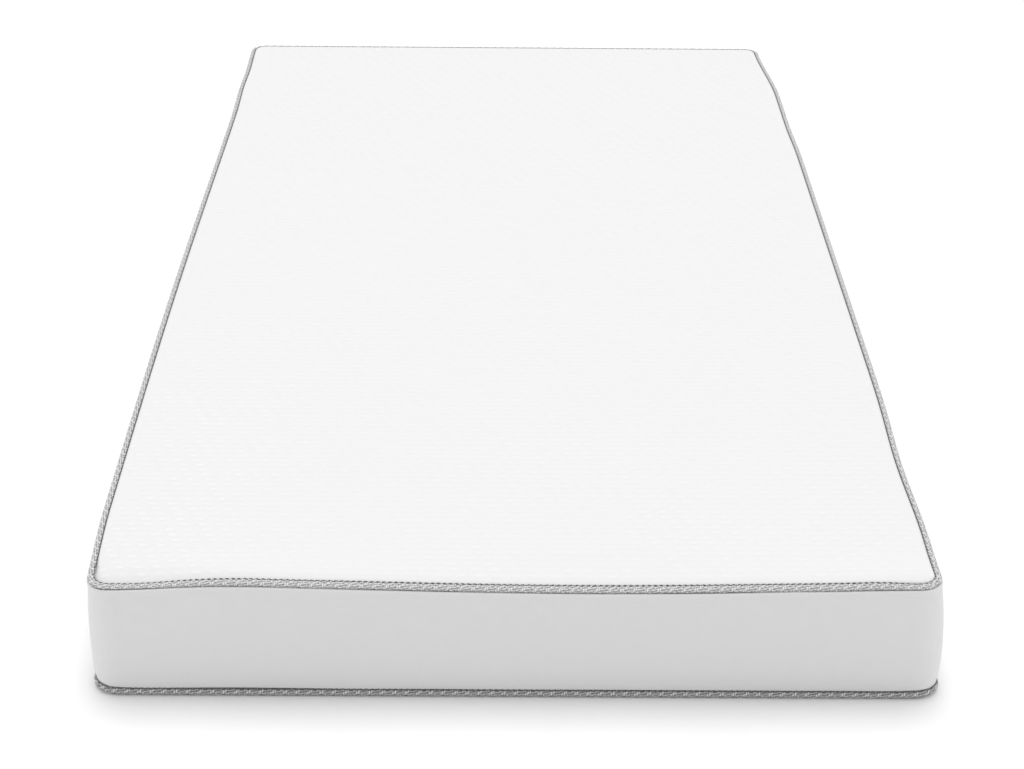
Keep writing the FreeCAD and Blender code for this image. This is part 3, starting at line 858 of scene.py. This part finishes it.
# outlines of the filling, as (out, z) from the top down
filling = {
    "sock": [(0.004, 0.1483), (0.0075, 0.1447), (0.0190, 0.1443), (0.0228, 0.1405), (0.0262, 0.120),
             (0.0282, 0.098), (0.0288, 0.073), (0.0280, 0.045), (0.0262, 0.015), (0.0215, 0.0042),
             (0.0170, 0.0028)],
    "memory": [(0.0035, 0.1474), (0.0065, 0.1439), (0.0182, 0.1435), (0.0219, 0.1398), (0.0253, 0.120),
               (0.0272, 0.0985), (0.0268, 0.09813)],
    "base": [(0.0268, 0.09808), (0.0272, 0.0975), (0.0279, 0.073), (0.0274, 0.0461), (0.0271, 0.0455),
             (0.0255, 0.0145), (0.0252, 0.0139), (0.0207, 0.0052), (0.0160, 0.0037)],
    # the sock and the base foam stand back behind the zip
    "sockRecess": {"end": 0.459, "low": 0.014, "high": 0.046, "back": 0.9460},
    "baseRecess": {"end": 0.459, "low": 0.0142, "high": 0.0458, "back": 0.9450},
}
makePipingTape("topPipingTape", "top_piping_tape", cordOut, topSeam - 0.0004)
makePipingTape("bottomPipingTape", "bottom_piping_tape", footOut, 0.0042)
packedBlock("fireBarrierSock", filling["sock"], finish["barrier"], ["fire_barrier_sock"],
            recess=filling["sockRecess"])
packedBlock("memoryFoamLayer", filling["memory"], finish["memoryFoam"], ["memory_foam_layer"])
packedBlock("baseFoamLayer", filling["base"], finish["baseFoam"], ["base_foam_layer"],
            recess=filling["baseRecess"])
print("filling made")


# underside with grip dots
under = {
    "step": 0.045,
    "reach": 0.0205,  # where it meets the bottom piping, out from the corner axis
    "lift": 0.0006,  # the cloth stands on its dots
    "roll": 0.0035,  # width and height of its rounded edge
    "rise": 0.0030,
    "inside": 0.0019,  # height of its inner face
    "dotPitch": 0.0143,
    "dotRadius": 0.0017,
    "margin": 0.022,  # bare cloth left round the dots
}


def makeUnderside():
    reach = under["reach"]
    edge = [0.0, 0.0006, 0.0016, 0.0030, 0.006]
    gridX, gridY, x, y, faces, rim = cutSheet(reach, under["step"], under["step"], edge)
    inside = edgeDistance(x, y, reach)
    t = np.clip(1 - inside / under["roll"], 0, 1)
    z = under["lift"] + under["rise"] * (1 - np.sqrt(np.maximum(0, 1 - t ** 2)))
    innerX, innerY = outward(x[rim], y[rim], reach - 0.004)
    inner = xyz(innerX, innerY, under["inside"])
    points = settle(np.concatenate([xyz(x, y, z), inner]))
    after = len(x) + np.arange(len(rim))
    allFaces = faces.tolist() + ringFaces(rim, after) + [after[::-1].tolist()]
    coords = np.concatenate([xyz(gridX, gridY, 0.0), inner])
    piece = makePiece("bottomPanel", points, allFaces, finish["underside"],
                      replaces=["bottom_panel"], coords=coords)
    halfX, halfY = cornerX + reach - under["margin"], cornerY + reach - under["margin"]
    spots = [(dx + (under["dotPitch"] / 2 if j % 2 else 0), dy)
             for j, dy in enumerate(np.arange(-halfY, halfY, under["dotPitch"] * 0.87))
             for dx in np.arange(-halfX, halfX - under["dotPitch"] / 2, under["dotPitch"])]
    spots = np.array(spots)
    angles = np.radians(np.arange(0, 360, 60))
    rings = []
    for share, level in ((1.0, under["lift"] + 0.0001), (0.62, 0.00005)):
        r = under["dotRadius"] * share
        rings.append(xyz(spots[:, :1] + r * np.cos(angles), spots[:, 1:] + r * np.sin(angles), level))
    dots = np.concatenate(rings, 1)
    starts = np.arange(len(spots)) * 12
    k, n = np.arange(6), (np.arange(6) + 1) % 6
    sides = np.stack([n, k, 6 + k, 6 + n], -1)
    faces = (starts[:, None, None] + sides).reshape(-1, 4).tolist()
    faces += (starts[:, None] + 6 + k[::-1]).tolist() + (starts[:, None] + k).tolist()
    makePiece("gripDots", settle(dots.reshape(-1, 3)), faces, finish["grip"])
    print("underside made:", len(spots), "grip dots")


makeUnderside()


# zip across the head end: tapes, coils, end tabs, and the rows of stitching that hold it
zipper = {
    "coilTurn": 0.0016,
    "wire": 0.00038,  # half the thickness of the coil's wire
    "ripple": 0.00012,
    "stitch": 0.0031,
    "stitchGap": 0.0012,
    "stitchIn": 0.0032,  # from the folded edge of the border to its row of stitches
    "tab": 0.0132,  # width of an end tab
}


def ribbon(name, low, high, thickness, material, replaces, columns=90, rows=6):
    # a narrow strip along x between two lines, with a slightly thicker edge and a gentle ripple
    (x0, y0, z0), (x1, y1, z1) = low, high
    xs, ts = np.linspace(x0, x1, columns), np.linspace(0, 1, rows)
    gridX, gridT = np.meshgrid(xs, ts, indexing="ij")
    middle = y0 + (y1 - y0) * gridT + zipper["ripple"] * np.sin(gridX * 41) * np.sin(gridT * 2.4)
    half = thickness / 2 * (0.8 + 0.2 * np.cos(gridT * 2 * math.pi))
    z = z0 + (z1 - z0) * gridT
    front, back = xyz(gridX, middle + half, z), xyz(gridX, middle - half, z)
    loop = np.concatenate([front, back[:, ::-1]], 1)
    faces = tubeFaces(columns, loop.shape[1])
    coords = xyz(loop[..., 0].ravel(), loop[..., 2].ravel(), 0.0)
    piece = makePiece(name, loop.reshape(-1, 3), faces, material, replaces=replaces, coords=coords,
                      smooth=False)


def makeTape(name, node):
    low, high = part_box(node)
    ribbon(name, (low.x, low.y + 0.0003, low.z), (high.x, high.y - 0.0003, high.z), 0.0006,
           finish["tape"], [node])


def makeCoil(name, node, hand):
    low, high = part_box(node)
    turns = round((high.x - low.x) / zipper["coilTurn"])
    count = turns * 8
    t = np.arange(count + 1) / count
    angle = hand * 2 * math.pi * turns * t
    wire = zipper["wire"]
    middleY, middleZ = (low.y + high.y) / 2, (low.z + high.z) / 2
    reachY, reachZ = (high.y - low.y) / 2 - wire, (high.z - low.z) / 2 - wire
    path = xyz(low.x + wire + (high.x - low.x - 2 * wire) * t, middleY + reachY * np.cos(angle),
               middleZ + reachZ * np.sin(angle))
    ahead = unit(np.gradient(path, axis=0))
    flat = np.cross(ahead, [1.0, 0, 0])
    flat /= np.maximum(np.linalg.norm(flat, axis=1), 1e-9)[:, None]
    rings = ringsRound(path, wire, flat, np.cross(ahead, flat), 5)
    makePiece(name, rings.reshape(-1, 3), tubeFaces(count + 1, 5), finish["nylon"],
              replaces=[node])


def stitchRow(name, points, normal, lengthwise):
    # short raised threads, each a small flattened bar
    along = lengthAlong(points)
    pitch = zipper["stitch"] + zipper["stitchGap"]
    at = np.arange(pitch, along[-1] - pitch, pitch)
    middles = pointsAt(points, along, at)
    lengthwise, normal = np.array(lengthwise, float), np.array(normal, float)
    third = np.cross(lengthwise, normal)
    shape = []
    for end, share in ((-0.5, 0.35), (-0.36, 1.0), (0.36, 1.0), (0.5, 0.35)):
        for a in np.radians([0, 60, 120, 180, 240, 300]):
            shape.append(lengthwise * end * zipper["stitch"] + third * 0.00032 * share * math.cos(a)
                         + normal * (0.00028 * share * math.sin(a) + (0 if share == 1.0 else -0.0002)))
    thread = (middles[:, None] + np.array(shape)).reshape(-1, 3)
    faces = [[len(shape) * n + v for v in face] for n in range(len(middles)) for face in tubeFaces(4, 6)]
    makePiece(name, thread, faces, finish["thread"])


def headSurface(z):
    # the outer face of the border across the head end at one height
    heights = np.array(border["rows"])[:0:-1]
    cloth = borderCloth[headColumns][:, :0:-1]
    x = cloth[:, :, 0].mean(1)
    y = np.array([np.interp(z, heights, line[:, 1]) for line in cloth])
    return x, y


makeTape("zipTapeUpper", "zip_tape_upper")
makeTape("zipTapeLower", "zip_tape_lower")
makeCoil("zipCoilUpper", "zip_teeth_upper", 1)
makeCoil("zipCoilLower", "zip_teeth_lower", -1)
tabLow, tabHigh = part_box("zip_end_tabs")
for name, start in (("zipEndTabLeft", tabLow.x), ("zipEndTabRight", tabHigh.x - zipper["tab"])):
    ribbon(name, (start, tabLow.y + 0.0009, tabLow.z), (start + zipper["tab"], tabHigh.y - 0.0009, tabHigh.z),
           0.0012, finish["borderKnit"], ["zip_end_tabs"],
           8, 6)
for name, row, hand in (("zipStitchUpper", zipTop, 1), ("zipStitchLower", zipFoot, -1)):
    z = border["rows"][row] + hand * zipper["stitchIn"]
    x, y = headSurface(z)
    keep = np.abs(x) < 0.47
    line = settle(xyz(x[keep], y[keep] + 0.00018, z))
    order = np.argsort(line[:, 0])
    stitchRow(name, line[order], (0, 1, 0), (1, 0, 0))
for name, at in (("cornerSeamStitchLeft", -cornerX + 0.0035), ("cornerSeamStitchRight", cornerX - 0.0035)):
    line = []
    for z in np.linspace(0.042, 0.134, 24):
        x, y = headSurface(z)
        order = np.argsort(x)
        line.append((at, np.interp(at, x[order], y[order]) + 0.0002, z))
    stitchRow(name, settle(line), (0, 1, 0), (0, 0, 1))
print("zip made")


# labels: blank, hanging from the top seam of the head end
labels = {
    "thickness": 0.00035,
    "stand": 0.0011,  # how far it hangs off the border
    "curl": 0.0022,  # and how much further at its free edge
    "flutter": 0.0009,
    "hem": 0.006,
}


def makeLabel(name, node):
    low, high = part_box(node)
    columns, rows = 15, 19
    us, vs = np.linspace(0, 1, columns), np.linspace(0, 1, rows)
    u, v = [g.ravel() for g in np.meshgrid(us, vs, indexing="ij")]
    x = low.x + (high.x - low.x) * u
    top = border["rows"][0]
    z = top - (top - low.z) * v
    surface = np.zeros(len(x))
    for level in np.unique(z):
        sx, sy = headSurface(level)
        order = np.argsort(sx)
        here = z == level
        surface[here] = np.interp(x[here], sx[order], sy[order])
    lift = labels["stand"] + labels["curl"] * v ** 2 + labels["flutter"] * np.sin(2.6 * math.pi * u + 0.7) * v
    lift = lift * ease(v, 0.0, 0.12) + 0.0004
    hemmed = labels["thickness"] * (1 + (z < low.z + labels["hem"]))
    face, back = xyz(x, surface + lift + hemmed, z), xyz(x, surface + lift, z)
    count, outer, rim = len(x), gridFaces(columns, rows), gridRim(columns, rows)
    faces = outer.tolist() + (outer[:, ::-1] + count).tolist() + ringFaces(rim, rim + count, flip=True)
    piece = makePiece(name, settle(np.concatenate([face, back])), faces, finish["label"],
                      replaces=[node])
    hemZ = low.z + labels["hem"]
    upward = face.reshape(columns, rows, 3)[:, ::-1]
    line = np.array([np.interp(hemZ, column[:, 2], column[:, 1]) for column in upward])
    row = xyz(upward[:, 0, 0], line + 0.0001, hemZ)
    stitchRow(name + "Stitches", settle(row), (0, 1, 0), (1, 0, 0))


makeLabel("lawLabel", "law_label")
makeLabel("careLabel", "care_label")

# what CAD already shapes well
carried = {
    "zip_bottom_stop": "nylon", "zip_top_stops": "nylon",
    "zip_slider_body": "metal", "zip_pull_tab": "metal",
}
for name, key in carried.items():
    nodes[name].data.materials.clear()
    nodes[name].data.materials.append(finish[key])


# floor, light and camera
stage = {
    "floor": 0.92,
    "sky": 0.80,
    "sun": 1.35,
    "sunTilt": 19,  # degrees from overhead, coming from behind the head end
    "sunSpread": 38,
    "fill": 0.40,  # two weak lamps, one from each side
    "fillTilt": 72,
    "camera": (-0.0191, -2.9888, 1.4640),
    "pitch": 27.395,
    "yaw": 0.458,
    "roll": 0.557,
    "lens": 75.57,
}


def addLamp(name, energy, turn):
    lamp = bpy.data.lights.new(name, "SUN")
    lamp.energy = energy
    lamp.angle = math.radians(stage["sunSpread"])
    addObject(name, lamp).rotation_euler = turn


def makeStage():
    mesh = bpy.data.meshes.new("floor")
    mesh.from_pydata([(-30, -30, 0), (30, -30, 0), (30, 30, 0), (-30, 30, 0)], [], [(0, 1, 2, 3)])
    floor = addObject("floor", mesh)
    mesh.materials.append(plain("paleFloor", stage["floor"], 0.9, 3.0, 0.0, Specular_IOR_Level=0.0))
    world = bpy.data.worlds.new("studio")
    scene.world = world
    world.use_nodes = True
    background = world.node_tree.nodes["Background"]
    background.inputs["Color"].default_value = (1, 1, 1, 1)
    background.inputs["Strength"].default_value = stage["sky"]
    sunTilt, fillTilt = math.radians(stage["sunTilt"]), math.radians(stage["fillTilt"])
    addLamp("overhead", stage["sun"], (-sunTilt, 0, 0))
    addLamp("fillLeft", stage["fill"], (0, -fillTilt, 0))
    addLamp("fillRight", stage["fill"], (0, fillTilt, 0))
    camera = addObject("camera", bpy.data.cameras.new("camera"))
    camera.data.lens = stage["lens"]
    camera.data.sensor_width = 36
    camera.data.clip_end = 50
    camera.location = stage["camera"]
    pitch, yaw, roll = (math.radians(stage[k]) for k in ("pitch", "yaw", "roll"))
    look = Vector((math.sin(yaw) * math.cos(pitch), math.cos(yaw) * math.cos(pitch), -math.sin(pitch)))
    turn = look.to_track_quat("-Z", "Y").to_matrix() @ Matrix.Rotation(roll, 3, "Z")
    camera.rotation_euler = turn.to_euler()
    bpy.context.scene.camera = camera
    scene.view_settings.view_transform = "Standard"


makeStage()
print("stage set")
